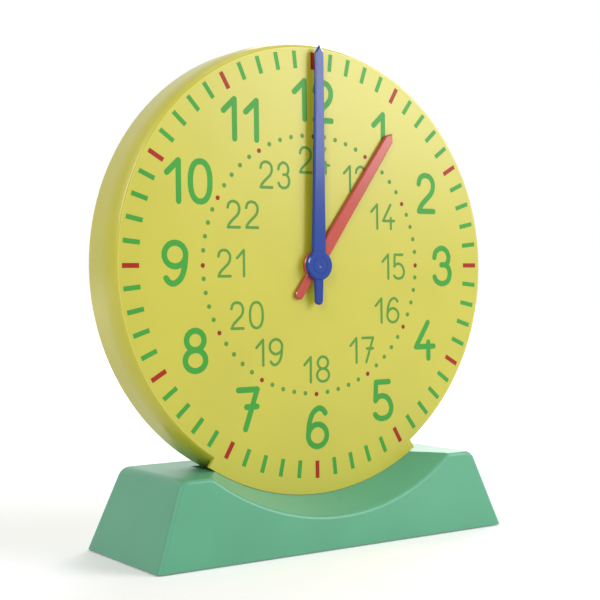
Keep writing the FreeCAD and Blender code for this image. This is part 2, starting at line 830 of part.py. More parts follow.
PARTS = [stand_shell, stand_floor, stand_floor_screws, rubber_feet, case_hold_screws, case_hold_washers,
         case_front, case_back, case_back_screws, dial_bush, back_bush, bridge_plate, bridge_bush,
         bridge_screws, relay_stud, relay_washer, minute_wheel, relay_pinion, hour_wheel, hour_hand,
         minute_arbor, cannon_pinion, friction_spring, arbor_clip, minute_hand, minute_hand_cap,
         setting_knob, knob_screw]

for make in PARTS:
    shape = make()
    shape.exportStep("parts/" + make.__name__ + ".step")
    box = shape.BoundBox
    print(make.__name__, "solids", len(shape.Solids), "valid", shape.isValid(),
          "volume", round(shape.Volume), "x", round(box.XMin, 1), round(box.XMax, 1),
          "y", round(box.YMin, 1), round(box.YMax, 1), "z", round(box.ZMin, 1), round(box.ZMax, 1))
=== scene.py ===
# %% [markdown]
# A geared teaching clock
#
# The clock is a yellow drum with a printed dial, seated in a mint-green stand. Its shapes, and the
# places of its joints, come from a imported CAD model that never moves. This lesson adds what CAD
# leaves out: the print on the dial, the surface of each plastic and metal, the light and the
# camera. Everything is in metres, in the CAD model's own frame, so nothing has to be fitted.

# %% Load the frame
import json
import math

import bmesh
import bpy
from mathutils import Matrix, Vector
from mathutils.geometry import delaunay_2d_cdt


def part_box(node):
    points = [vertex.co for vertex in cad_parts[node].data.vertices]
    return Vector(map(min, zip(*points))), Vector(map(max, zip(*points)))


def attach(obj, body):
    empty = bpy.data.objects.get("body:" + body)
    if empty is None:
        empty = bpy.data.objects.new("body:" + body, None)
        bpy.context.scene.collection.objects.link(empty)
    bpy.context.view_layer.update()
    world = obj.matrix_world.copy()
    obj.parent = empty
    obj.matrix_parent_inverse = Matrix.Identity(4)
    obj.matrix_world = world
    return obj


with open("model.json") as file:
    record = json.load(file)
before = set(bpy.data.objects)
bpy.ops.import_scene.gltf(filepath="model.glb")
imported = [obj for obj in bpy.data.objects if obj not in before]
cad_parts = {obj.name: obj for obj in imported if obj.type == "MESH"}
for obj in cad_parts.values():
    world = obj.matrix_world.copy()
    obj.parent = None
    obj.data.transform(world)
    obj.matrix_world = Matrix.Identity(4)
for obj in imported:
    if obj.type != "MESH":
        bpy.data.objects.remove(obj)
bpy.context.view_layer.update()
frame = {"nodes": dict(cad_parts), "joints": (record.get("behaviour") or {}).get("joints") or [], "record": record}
nodes = frame["nodes"]

# %% [markdown]
# Places on the dial
#
# A dial is drawn in its own flat map: x to the right, z up, both from its centre, in millimetres.
# The centre could be typed in, but the CAD model already knows it: the minute hand's joint lies on
# it, and the front of the case gives the plane. Reading both keeps the print right if the case
# moves.

# %% Find the dial
MM = 0.001
turning = {joint["name"]: joint for joint in frame["joints"]}
axis_x, _, axis_z = turning["minute_turn"]["pos_m"]
dial_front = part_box("case_front")[0].y
print("dial centre height", round(axis_z / MM, 1), "mm, face y", round(dial_front / MM, 1), "mm")

# %% [markdown]
# Colours and nodes
#
# A colour given as a hex code is sRGB, while Blender calculates in linear light, so one function
# converts it. One more function adds any node, with its settings and its links. Both shader trees and
# geometry trees are made with it, which keeps each recipe below short enough to read as a recipe.

# %% Small tools for colours, nodes and materials
def linear(code):
    """An sRGB hex code as the opaque linear colour that Blender calculates with."""
    parts = [int(code[start:start + 2], 16) / 255 for start in (1, 3, 5)]
    low = [part / 12.92 for part in parts]
    high = [((part + 0.055) / 1.055) ** 2.4 for part in parts]
    return tuple(h if p > 0.04045 else l for p, l, h in zip(parts, low, high)) + (1.0,)


def add(tree, kind, inputs=None, **settings):
    """Add a node. An input takes a plain value, or another node's output, which is linked."""
    node = tree.nodes.new(kind)
    for name, value in settings.items():
        setattr(node, name, value)
    for socket, value in (inputs or {}).items():
        if isinstance(value, bpy.types.NodeSocket):
            tree.links.new(value, node.inputs[socket])
        else:
            node.inputs[socket].default_value = value
    return node


def new_material(name):
    """A material with an empty node tree, and that tree."""
    material = bpy.data.materials.new(name)
    material.use_nodes = True
    material.node_tree.nodes.clear()
    return material, material.node_tree


print("mid grey #808080 in linear light:", round(linear("#808080")[0], 3))

# %% [markdown]
# Moulded ABS
#
# The case, stand, hands and knob are injection-moulded ABS, coloured right through. A steel mould
# leaves a fine spark-eroded grain that softens every highlight, and the melt cools a little
# unevenly, so large faces shift very slightly in tone and gloss. A flat colour would look like
# paper. The grain of such a mould is about 0.15 mm, too fine for this picture, so it is drawn at
# 0.7 mm and kept shallow. The hands come from a polished mould, and their grain is shallower still.
#
# Specular says how strongly the surface mirrors the lamps beside its own colour. Plain plastic is
# 0.5; the stand shows a little less of the lamps and the dial a little more.

# %% A recipe for moulded ABS
CLOUD_SIZE = 60 * MM
CLOUD_LOW, CLOUD_HIGH = 0.2, 0.8
GLOSS_DRIFT = 0.02
GRAIN_STRENGTH = 0.35
ABS_IOR = 1.53


def moulded_abs(name, colour, roughness, grain_mm=0.7, grain_depth_mm=0.012, drift=0.05,
                specular=0.5):
    """Moulded plastic with a grain, and with a tone that drifts by the given share."""
    material, tree = new_material(name)
    place = add(tree, "ShaderNodeTexCoord").outputs["Object"]
    cloud = add(tree, "ShaderNodeTexNoise", {
        "Vector": place, "Scale": 1 / CLOUD_SIZE, "Detail": 2.0})
    grain = add(tree, "ShaderNodeTexNoise", {
        "Vector": place, "Scale": 1 / (grain_mm * MM), "Detail": 2.0})
    span = {"Value": cloud.outputs["Fac"], "From Min": CLOUD_LOW, "From Max": CLOUD_HIGH}
    value = add(tree, "ShaderNodeMapRange", {
        **span, "To Min": 1 - drift, "To Max": 1 + drift}, interpolation_type="SMOOTHSTEP")
    tone = add(tree, "ShaderNodeHueSaturation", {
        "Color": linear(colour), "Value": value.outputs["Result"]})
    gloss = add(tree, "ShaderNodeMapRange", {
        **span, "To Min": roughness - GLOSS_DRIFT, "To Max": roughness + GLOSS_DRIFT},
        interpolation_type="SMOOTHSTEP")
    bump = add(tree, "ShaderNodeBump", {
        "Height": grain.outputs["Fac"], "Strength": GRAIN_STRENGTH,
        "Distance": grain_depth_mm * MM})
    surface = add(tree, "ShaderNodeBsdfPrincipled", {
        "Base Color": tone.outputs["Color"], "Roughness": gloss.outputs["Result"],
        "IOR": ABS_IOR, "Specular IOR Level": specular, "Normal": bump.outputs["Normal"]})
    add(tree, "ShaderNodeOutputMaterial", {"Surface": surface.outputs["BSDF"]})
    return material


green_abs = moulded_abs("ABS moulded satin mint green", "#5AA380", 0.32, specular=0.33)
blue_abs = moulded_abs("ABS moulded semi-gloss blue", "#02368E", 0.18,
                       grain_depth_mm=0.004, specular=0.4)
red_abs = moulded_abs("ABS moulded semi-gloss red", "#B63C2C", 0.20, grain_depth_mm=0.004)
print("moulded plastics:", green_abs.name, "|", blue_abs.name, "|", red_abs.name)

# %% [markdown]
# The yellow case
#
# The case is the same plastic with one thing more, a painted highlight. Where the flat dial meets its
# rounded rim, the mould has a crease, and its edge catches the light as a hairline a little paler
# than the face. That highlight is painted into the colour. The line could be a thin ring of mesh, but
# it has no height worth modelling. The distance from the dial's axis, worked out from Object
# coordinates, paints it exactly where the crease is. At the bottom the dial runs on flat over the
# joint with the stand, and the painted highlight stops there.

# %% Yellow ABS with a painted crease highlight
CREASE_RADIUS = 156.5 * MM
# The width, strength and paler colour of the painted highlight on the crease.
CREASE_HIGHLIGHT_WIDTH = 0.5 * MM
CREASE_HIGHLIGHT_STRENGTH = 0.25
CREASE_HIGHLIGHT_COLOUR = "#EFE98E"
LIP_HALF_ANGLE = math.radians(33)


def yellow_case_abs():
    material = moulded_abs("ABS moulded satin yellow, painted crease highlight", "#BEB72C", 0.30, drift=0.03, specular=0.65)
    tree = material.node_tree
    surface = next(node for node in tree.nodes if node.type == "BSDF_PRINCIPLED")
    face_colour = surface.inputs["Base Color"].links[0].from_socket
    place = next(node for node in tree.nodes if node.type == "TEX_COORD").outputs["Object"]
    from_axis = add(tree, "ShaderNodeVectorMath", {
        0: place, 1: (axis_x, 0, axis_z)}, operation="SUBTRACT")
    flat = add(tree, "ShaderNodeVectorMath", {
        0: from_axis.outputs["Vector"], 1: (1, 0, 1)}, operation="MULTIPLY")
    radius = add(tree, "ShaderNodeVectorMath", {0: flat.outputs["Vector"]}, operation="LENGTH")
    off_line = add(tree, "ShaderNodeMath", {
        0: radius.outputs["Value"], 1: CREASE_RADIUS}, operation="SUBTRACT")
    distance = add(tree, "ShaderNodeMath", {0: off_line.outputs["Value"]}, operation="ABSOLUTE")
    # The painted highlight: full strength on the crease, gone half a millimetre off it.
    line = add(tree, "ShaderNodeMapRange", {
        "Value": distance.outputs["Value"], "From Min": 0.0, "From Max": CREASE_HIGHLIGHT_WIDTH,
        "To Min": CREASE_HIGHLIGHT_STRENGTH, "To Max": 0.0})
    outward = add(tree, "ShaderNodeVectorMath", {0: flat.outputs["Vector"]}, operation="NORMALIZE")
    height = add(tree, "ShaderNodeSeparateXYZ", {"Vector": outward.outputs["Vector"]})
    # The painted highlight is left off the lip at the bottom.
    off_lip = add(tree, "ShaderNodeMath", {
        0: height.outputs["Z"], 1: -math.cos(LIP_HALF_ANGLE)}, operation="GREATER_THAN")
    shown_highlight = add(tree, "ShaderNodeMath", {
        0: line.outputs["Result"], 1: off_lip.outputs["Value"]}, operation="MULTIPLY")
    # The mix lays the painted highlight's paler colour over the face colour.
    # A Mix node keeps a set of sockets for each kind of data: its colours are inputs 6 and 7 and
    # output 2.
    mix = add(tree, "ShaderNodeMix", {
        "Factor": shown_highlight.outputs["Value"], 6: face_colour, 7: linear(CREASE_HIGHLIGHT_COLOUR)},
        data_type="RGBA")
    tree.links.new(mix.outputs[2], surface.inputs["Base Color"])
    return material


yellow_abs = yellow_case_abs()
print("crease line at", round(CREASE_RADIUS / MM, 1), "mm from the axis")

# %% [markdown]
# The hidden works and the fasteners
#
# The gears are natural acetal, milky and slippery, and the feet are black rubber; both are moulded,
# with an IOR close to that of ABS, so they use the same recipe. The bushes are turned brass, and
# the screws, plates and arbor are zinc-plated steel. A turned or drawn metal keeps fine lines from
# its cutting, here round the clock's own axis, so its roughness is streaked. The lines are under
# 0.1 mm apart and are drawn at 0.4 mm. Both metals keep the default IOR, because their colour alone
# sets how they reflect.

# %% Acetal, metals and rubber
LINE_STRETCH = 12.0
LINE_LOW, LINE_HIGH = 0.3, 0.7
LINE_DEPTH = 0.01 * MM
METAL_DRIFT = 0.07


def drawn_metal(name, colour, roughness, line_mm=0.4):
    """Metal with fine lines, which are the given width apart along the clock's axis."""
    material, tree = new_material(name)
    place = add(tree, "ShaderNodeTexCoord").outputs["Object"]
    squeezed = add(tree, "ShaderNodeMapping", {"Vector": place, "Scale": (1.0, LINE_STRETCH, 1.0)})
    lines = add(tree, "ShaderNodeTexNoise", {
        "Vector": squeezed.outputs["Vector"], "Scale": 1 / (LINE_STRETCH * line_mm * MM),
        "Detail": 3.0})
    rough = add(tree, "ShaderNodeMapRange", {
        "Value": lines.outputs["Fac"], "From Min": LINE_LOW, "From Max": LINE_HIGH,
        "To Min": roughness - METAL_DRIFT, "To Max": roughness + METAL_DRIFT})
    bump = add(tree, "ShaderNodeBump", {
        "Height": lines.outputs["Fac"], "Strength": 0.2, "Distance": LINE_DEPTH})
    surface = add(tree, "ShaderNodeBsdfPrincipled", {
        "Base Color": linear(colour), "Metallic": 1.0, "Roughness": rough.outputs["Result"],
        "Normal": bump.outputs["Normal"]})
    add(tree, "ShaderNodeOutputMaterial", {"Surface": surface.outputs["BSDF"]})
    return material


acetal = moulded_abs("Acetal moulded natural white", "#E9E6DA", 0.33,
                     grain_depth_mm=0.004, drift=0.02)
rubber = moulded_abs("Rubber moulded black", "#1C1C1C", 0.72, grain_mm=1.0, grain_depth_mm=0.03)
brass = drawn_metal("Brass turned", "#C9A457", 0.30)
steel = drawn_metal("Steel zinc plated", "#B4B6BA", 0.36)
print("metals:", brass.name, "|", steel.name)

# %% [markdown]
# Dress the CAD parts
#
# Each CAD part already has the right shape, so it only gets a material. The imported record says
# which finish each part has, and one table from finish to material dresses all of them. A part that
# is added to the model later is dressed too, and a finish without a material stops the script.

# %% Give every CAD part its material
finish_material = {
    "green_plastic": green_abs, "yellow_plastic": yellow_abs, "blue_plastic": blue_abs,
    "red_plastic": red_abs, "gear_plastic": acetal, "black_rubber": rubber,
    "brass": brass, "steel": steel,
}
for part in frame["record"]["subparts"]:
    dressed = nodes[part["node"]]
    dressed.data.materials.clear()
    dressed.data.materials.append(finish_material[part["material_slot"]])

# %% [markdown]
# Screen-printing ink
#
# The numerals and marks are screen printed. Ink on plastic is a film a few hundredths of a
# millimetre thick. It mirrors the lamps less than the face under it, and it thins slightly from
# place to place. A thin line or a dot takes less ink than a bold stroke, so more of the yellow
# shows through it, and the fine marks have a slightly yellower ink of their own. An image texture
# would blur close up, so every mark is real geometry and stays sharp. Its back is sunk a little
# into the dial, so no gap can open under it.

# %% Ink
INK_HEIGHT = 0.06 * MM
INK_SUNK = 0.04 * MM


def printed_ink(name, colour):
    return moulded_abs(name, colour, 0.30, grain_mm=0.5, grain_depth_mm=0.003, drift=0.06,
                       specular=0.22)


green_ink = printed_ink("Screen ink green", "#3C9836")
red_ink = printed_ink("Screen ink red", "#9E2008")
fine_green_ink = printed_ink("Screen ink green thin", "#579038")
fine_red_ink = printed_ink("Screen ink red thin", "#8C2A10")
print("ink stands", round(INK_HEIGHT / MM, 2), "mm proud of the dial")

# %% [markdown]
# Rings of marks
#
# Sixty strokes run round the edge of the dial and sixty dots run inside the numerals; every fifth
# one is red. Geometry Nodes suit this well: one mark is instanced on a ring of points, and a switch
# chooses the fifths or the rest, so the four rings share one tree. The tree ends in Realize
# Instances, because an export drops instances.

# %% One tree for strokes and dots
DOT_CORNERS = 24


def ring_of_marks_tree():
    tree = bpy.data.node_groups.new("Ring of printed marks", "GeometryNodeTree")
    tree.interface.new_socket("Geometry", in_out="OUTPUT", socket_type="NodeSocketGeometry")
    sockets = [("Count", "NodeSocketInt"), ("Fifths", "NodeSocketBool"),
               ("Round", "NodeSocketBool"), ("Ring Radius", "NodeSocketFloat"),
               ("Length", "NodeSocketFloat"), ("Width", "NodeSocketFloat"),
               ("Ink Height", "NodeSocketFloat"), ("Centre", "NodeSocketVector"),
               ("Ink", "NodeSocketMaterial")]
    for name, kind in sockets:
        tree.interface.new_socket(name, in_out="INPUT", socket_type=kind)
    given = add(tree, "NodeGroupInput").outputs
    index = add(tree, "GeometryNodeInputIndex").outputs["Index"]

    # A point for each mark, on a circle that starts at the top and runs clockwise.
    step = add(tree, "ShaderNodeMath", {0: math.tau, 1: given["Count"]}, operation="DIVIDE")
    turn = add(tree, "ShaderNodeMath", {0: index, 1: step.outputs["Value"]}, operation="MULTIPLY")
    across = add(tree, "ShaderNodeMath", {0: turn.outputs["Value"]}, operation="SINE")
    up = add(tree, "ShaderNodeMath", {0: turn.outputs["Value"]}, operation="COSINE")
    direction = add(tree, "ShaderNodeCombineXYZ", {
        "X": across.outputs["Value"], "Z": up.outputs["Value"]})
    arm = add(tree, "ShaderNodeVectorMath", {
        0: direction.outputs["Vector"], "Scale": given["Ring Radius"]}, operation="SCALE")
    spot = add(tree, "ShaderNodeVectorMath", {
        0: arm.outputs["Vector"], 1: given["Centre"]}, operation="ADD")
    points = add(tree, "GeometryNodePoints", {
        "Count": given["Count"], "Position": spot.outputs["Vector"]})

    # The fifths are the points whose number leaves nothing over when divided by five.
    left_over = add(tree, "ShaderNodeMath", {0: index, 1: 5.0}, operation="MODULO")
    is_fifth = add(tree, "FunctionNodeCompare", {
        0: left_over.outputs["Value"], 1: 0.5}, data_type="FLOAT", operation="LESS_THAN")
    chosen = add(tree, "FunctionNodeBooleanMath", {
        0: is_fifth.outputs["Result"], 1: given["Fifths"]}, operation="XNOR")

    # One mark: a stroke is a flat box, and a dot is a flat cylinder turned to face the reader.
    size = add(tree, "ShaderNodeCombineXYZ", {
        "X": given["Width"], "Y": given["Ink Height"], "Z": given["Length"]})
    stroke = add(tree, "GeometryNodeMeshCube", {"Size": size.outputs["Vector"]})
    dot_radius = add(tree, "ShaderNodeMath", {0: given["Width"], 1: 2.0}, operation="DIVIDE")
    dot = add(tree, "GeometryNodeMeshCylinder", {
        "Vertices": DOT_CORNERS, "Radius": dot_radius.outputs["Value"],
        "Depth": given["Ink Height"]})
    facing = add(tree, "GeometryNodeTransform", {
        "Geometry": dot.outputs["Mesh"], "Rotation": (math.pi / 2, 0, 0)})
    mark = add(tree, "GeometryNodeSwitch", {
        "Switch": given["Round"], "False": stroke.outputs["Mesh"],
        "True": facing.outputs["Geometry"]}, input_type="GEOMETRY")

    lean = add(tree, "ShaderNodeCombineXYZ", {"Y": turn.outputs["Value"]})
    placed = add(tree, "GeometryNodeInstanceOnPoints", {
        "Points": points.outputs["Points"], "Selection": chosen.outputs["Boolean"],
        "Instance": mark.outputs["Output"], "Rotation": lean.outputs["Vector"]})
    real = add(tree, "GeometryNodeRealizeInstances", {"Geometry": placed.outputs["Instances"]})
    inked = add(tree, "GeometryNodeSetMaterial", {
        "Geometry": real.outputs["Geometry"], "Material": given["Ink"]})
    add(tree, "NodeGroupOutput", {"Geometry": inked.outputs["Geometry"]})
    return tree


ring_tree = ring_of_marks_tree()
print("tree:", ring_tree.name, "with", len(ring_tree.nodes), "nodes")

# %% [markdown]
# From tree to plain mesh
#
# A modifier's inputs are set by their identifiers, before Blender first evaluates the object. The
# result is then copied to a plain mesh and the modifier thrown away, so the finished piece carries
# only its own vertices and rides on the case like any other part. A dial is printed once for each
# ink and the two never register perfectly: here the green stands 0.7 mm above the dial's centre,
# and the red hangs 0.6 mm below the green.

# %% Make the four rings
PRINT_RISE = 0.7 * MM
RED_DROP = 0.6 * MM
ink_middle = dial_front - INK_HEIGHT / 2 + INK_SUNK / 2
print_centre = Vector((axis_x, ink_middle, axis_z + PRINT_RISE))
red_centre = print_centre - Vector((0, 0, RED_DROP))


def lay_on_case(name, mesh):
    """Make a mesh a piece of its own, which rides on the case."""
    piece = bpy.data.objects.new(name, mesh)
    bpy.context.collection.objects.link(piece)
    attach(piece, "case_and_stand")
    print(name, "triangles", sum(len(face.vertices) - 2 for face in mesh.polygons))


def ring_of_marks(name, values):
    maker = bpy.data.objects.new(name, bpy.data.meshes.new(name + "_seed"))
    bpy.context.collection.objects.link(maker)
    modifier = maker.modifiers.new("Ring", "NODES")
    modifier.node_group = ring_tree
    for item in ring_tree.interface.items_tree:
        if item.in_out == "INPUT" and item.name in values:
            modifier[item.identifier] = values[item.name]
    evaluated = maker.evaluated_get(bpy.context.evaluated_depsgraph_get())
    mesh = bpy.data.meshes.new_from_object(evaluated)
    bpy.data.objects.remove(maker)
    lay_on_case(name, mesh)


sixty = {"Count": 60, "Width": 3.3 * MM, "Ink Height": INK_HEIGHT + INK_SUNK}
stroke_ring = {**sixty, "Round": False, "Ring Radius": 147.5 * MM, "Length": 12.6 * MM}
dot_ring = {**sixty, "Round": True, "Ring Radius": 93.0 * MM}
fifths = {"Fifths": True, "Centre": red_centre}
the_rest = {"Fifths": False, "Centre": print_centre}
ring_of_marks("minute_strokes", {**stroke_ring, **the_rest, "Ink": green_ink})
ring_of_marks("five_minute_strokes", {**stroke_ring, **fifths, "Ink": red_ink})
ring_of_marks("minute_dots", {**dot_ring, **the_rest, "Ink": fine_green_ink})
ring_of_marks("five_minute_dots", {**dot_ring, **fifths, "Ink": fine_red_ink})

# %% [markdown]
# Numerals as pen strokes
#
# The numerals are the round-ended school hand: a one with a long flag, an open four, a crossed
# seven. A font would bring somebody's letter shapes and would hide how they are made. Here each
# digit is a few pen strokes drawn through points in a unit box, so one drawing serves the bold
# outer numerals and the fine inner ones: only the size and the pen change.

# %% Draw the digits
def smooth(*points, steps=8):
    """A curve through the points, with its ends running straight on."""
    first = Vector(points[0]) * 2 - Vector(points[1])
    last = Vector(points[-1]) * 2 - Vector(points[-2])
    known = [first] + [Vector(point) for point in points] + [last]
    line = []
    for a, b, c, d in zip(known, known[1:], known[2:], known[3:]):
        for step in range(steps):
            t = step / steps
            line.append(0.5 * (2 * b + (c - a) * t + (2 * a - 5 * b + 4 * c - d) * t ** 2
                               + (3 * b - a - 3 * c + d) * t ** 3))
    return line + [Vector(points[-1])]


def straight(*points):
    return [Vector(point) for point in points]


def half_loop(centre, radii, start, squareness=2.0, steps=20):
    """Half of a closed loop, from a start angle in degrees. A squareness of 2 is an ellipse."""
    line = []
    for step in range(steps + 1):
        angle = math.radians(start + 180 * step / steps)
        c, s = math.cos(angle), math.sin(angle)
        line.append(Vector((
            centre[0] + radii[0] * math.copysign(abs(c) ** (2 / squareness), c),
            centre[1] + radii[1] * math.copysign(abs(s) ** (2 / squareness), s))))
    return line


def loop(centre, radii, squareness=2.0):
    """A closed loop as two half loops, because a pen's band must not close on itself."""
    return [half_loop(centre, radii, start, squareness) for start in (0, 180)]


def half_turned(strokes):
    return [[Vector((1 - point.x, 1 - point.y)) for point in stroke] for stroke in strokes]


six = loop((0.5, 0.29), (0.5, 0.29)) + [
    smooth((0.93, 0.87), (0.78, 0.97), (0.55, 1.0), (0.25, 0.88), (0.07, 0.63), (0.0, 0.29))]
digit_strokes = {
    "0": loop((0.5, 0.5), (0.5, 0.5), squareness=2.3),
    "1": [straight((0.0, 0.70), (1.0, 1.0)), straight((1.0, 1.0), (1.0, 0.0))],
    "2": [smooth((0.0, 0.76), (0.08, 0.90), (0.26, 0.98), (0.48, 1.0), (0.78, 0.95), (0.97, 0.80),
                 (0.96, 0.62), (0.80, 0.47), (0.50, 0.33), (0.15, 0.15), (0.0, 0.0)),
          straight((0.0, 0.0), (1.0, 0.0))],
    "3": [smooth((0.0, 0.74), (0.10, 0.90), (0.44, 1.0), (0.78, 0.93), (0.93, 0.76), (0.87, 0.60),
                 (0.72, 0.53)),
          smooth((0.72, 0.53), (0.92, 0.44), (1.0, 0.27), (0.86, 0.07), (0.48, 0.0), (0.14, 0.07),
                 (0.0, 0.19)),
          straight((0.46, 0.53), (0.74, 0.53))],
    "4": [straight((0.68, 1.0), (0.0, 0.33)), straight((0.0, 0.33), (1.0, 0.33)),
          straight((0.70, 0.45), (0.70, 0.0))],
    "5": [straight((0.85, 1.0), (0.08, 1.0)), straight((0.08, 1.0), (0.03, 0.50)),
          smooth((0.03, 0.50), (0.20, 0.59), (0.47, 0.62), (0.80, 0.54), (1.0, 0.30), (0.86, 0.08),
                 (0.47, 0.0), (0.15, 0.04), (0.0, 0.12))],
    "6": six,
    "7": [straight((0.0, 1.0), (1.0, 1.0)), straight((1.0, 1.0), (0.35, 0.0)),
          straight((0.42, 0.56), (0.98, 0.56))],
    "8": loop((0.5, 0.76), (0.43, 0.24)) + loop((0.5, 0.26), (0.5, 0.26)),
    "9": half_turned(six),
}
print("digits drawn:", "".join(sorted(digit_strokes)))

# %% [markdown]
# From strokes to ink
#
# A round pen drawn along a stroke leaves a band with half-round ends. Bands that cross would lie in
# the same plane and flicker, so each digit's bands are merged by a triangulation that reports which
# band each triangle came from; triangles of no band are holes, such as the inside of a nought.

# %% Bands and digits
CAP_STEPS = 10
MERGE_DISTANCE_MM = 1e-5


def pen_band(line, pen):
    """The outline that a round pen leaves along a line, anticlockwise."""
    def side(points):
        offset = []
        for number, point in enumerate(points):
            before = points[max(number - 1, 0)]
            after = points[min(number + 1, len(points) - 1)]
            along = (after - before).normalized()
            offset.append(point + Vector((along.y, -along.x)) * pen / 2)
        return offset

    def cap(end, inner):
        along = (end - inner).normalized()
        start = math.atan2(-along.x, along.y)
        angles = [start + math.pi * step / CAP_STEPS for step in range(1, CAP_STEPS)]
        return [end + Vector((math.cos(angle), math.sin(angle))) * pen / 2 for angle in angles]

    back = line[::-1]
    return side(line) + cap(line[-1], line[-2]) + side(back) + cap(line[0], line[1])


def digit_outline(digit, width, height, pen, left, foot):
    """Merged flat triangles of a digit whose ink fills the given box."""
    scale = Vector((width - pen, height - pen))
    corner = Vector((left + pen / 2, foot + pen / 2))
    corners, faces = [], []
    for stroke in digit_strokes[digit]:
        line = [corner + Vector((point.x * scale.x, point.y * scale.y)) for point in stroke]
        band = pen_band(line, pen)
        faces.append(list(range(len(corners), len(corners) + len(band))))
        corners += band
    # Output type 1 gives the triangles inside the bands' outer edge, holes among them.
    points, _, triangles, _, _, sources = delaunay_2d_cdt(
        corners, [], faces, 1, MERGE_DISTANCE_MM)
    return points, [triangle for triangle, source in zip(triangles, sources) if source]


eight = digit_outline("8", width=20.0, height=31.6, pen=4.2, left=0, foot=0)
print("a bold 8 has", len(eight[1]), "triangles")

# %% [markdown]
# Setting the numbers
#
# Each number is centred on its hour line. The printer set them by eye, so the nudges below, in
# millimetres, move each one to where it stands on the dial.

# %% Print both rows of numerals
DEGREES_PER_HOUR = 30
bold_widths = {"0": 19.5, "1": 13.0, "2": 18.5, "3": 19.5, "4": 21.5, "5": 19.5, "6": 20.5,
               "7": 19.5, "8": 20.0, "9": 20.5}
fine_widths = {"0": 12.5, "1": 7.5, "2": 11.5, "3": 11.0, "4": 12.5, "5": 11.5, "6": 12.5,
               "7": 12.0, "8": 12.5, "9": 12.5}
bold_nudges = {1: (0.5, -3.0), 2: (3.0, -4.0), 3: (2.5, -1.0), 4: (0.0, 0.5), 5: (2.0, 0.0),
               6: (0.5, -0.5), 7: (0.5, 0.5), 8: (2.0, 0.0), 9: (3.0, 1.0), 10: (-1.5, -2.0),
               11: (-3.0, -0.5), 12: (0.0, 1.0)}
fine_nudges = {13: (0.0, -0.5), 14: (-1.5, -1.0), 15: (-2.0, -1.5), 16: (1.5, 2.5),
               17: (4.5, 0.5), 18: (0.5, -2.0), 19: (-3.0, 2.0), 20: (6.0, 1.5),
               21: (3.5, 1.0), 22: (3.5, -2.0), 23: (3.5, -0.5), 24: (1.0, 1.5)}


def printed_numbers(name, ring_radius, height, pen, gap, widths, nudges, ink):
    """A row of numbers as one piece of raised ink. All its sizes are in millimetres."""
    shape = bmesh.new()
    for number, (nudge_right, nudge_up) in nudges.items():
        digits = str(number)
        total = sum(widths[digit] for digit in digits) + gap * (len(digits) - 1)
        turn = math.radians(DEGREES_PER_HOUR * (number % 12))
        left = ring_radius * math.sin(turn) + nudge_right - total / 2
        foot = ring_radius * math.cos(turn) + nudge_up - height / 2
        for digit in digits:
            points, triangles = digit_outline(digit, widths[digit], height, pen, left, foot)
            corners = [shape.verts.new((print_centre.x + point.x * MM, dial_front - INK_HEIGHT,
                                        print_centre.z + point.y * MM)) for point in points]
            for triangle in triangles:
                shape.faces.new([corners[corner] for corner in triangle])
            left += widths[digit] + gap
    unused = [corner for corner in shape.verts if not corner.link_faces]
    bmesh.ops.delete(shape, geom=unused, context="VERTS")
    grown = bmesh.ops.extrude_face_region(shape, geom=shape.faces[:])
    moved = [item for item in grown["geom"] if isinstance(item, bmesh.types.BMVert)]
    bmesh.ops.translate(shape, verts=moved, vec=(0, INK_HEIGHT + INK_SUNK, 0))
    bmesh.ops.recalc_face_normals(shape, faces=shape.faces[:])
    mesh = bpy.data.meshes.new(name)
    shape.to_mesh(mesh)
    shape.free()
    mesh.materials.append(ink)
    lay_on_case(name, mesh)


printed_numbers("hour_numerals", ring_radius=117.3, height=31.6, pen=4.2, gap=5.0,
                widths=bold_widths, nudges=bold_nudges, ink=green_ink)
printed_numbers("afternoon_numerals", ring_radius=73.8, height=20.0, pen=2.0, gap=3.5,
                widths=fine_widths, nudges=fine_nudges, ink=fine_green_ink)

# %% [markdown]
# Floor and background
#
# The clock stands in a plain white studio. The floor is a matt sheet that keeps the clock's soft
# shadow. To the camera it also glows, faintly by the clock and more further off, as a studio sheet
# curves up into the light, so it meets the white background with no horizon. That glow, and the
# white of the background, are added for camera, mirror and see-through rays only, so they put no
# light on the clock but what its shiny faces mirror.

# %% Seen rays
def seen_directly(tree):
    """One where a ray comes from the camera, a mirror or glass, and otherwise nought."""
    path = add(tree, "ShaderNodeLightPath")
    either = add(tree, "ShaderNodeMath", {
        0: path.outputs["Is Camera Ray"], 1: path.outputs["Is Glossy Ray"]}, operation="MAXIMUM")
    every = add(tree, "ShaderNodeMath", {
        0: either.outputs["Value"], 1: path.outputs["Is Transmission Ray"]}, operation="MAXIMUM")
    return every.outputs["Value"]


# %% Floor
FLOOR_RADIUS = 12.0
NEAR_DISTANCE, FAR_DISTANCE = 0.25, 1.3
NEAR_GLOW, FAR_GLOW = 0.15, 0.95


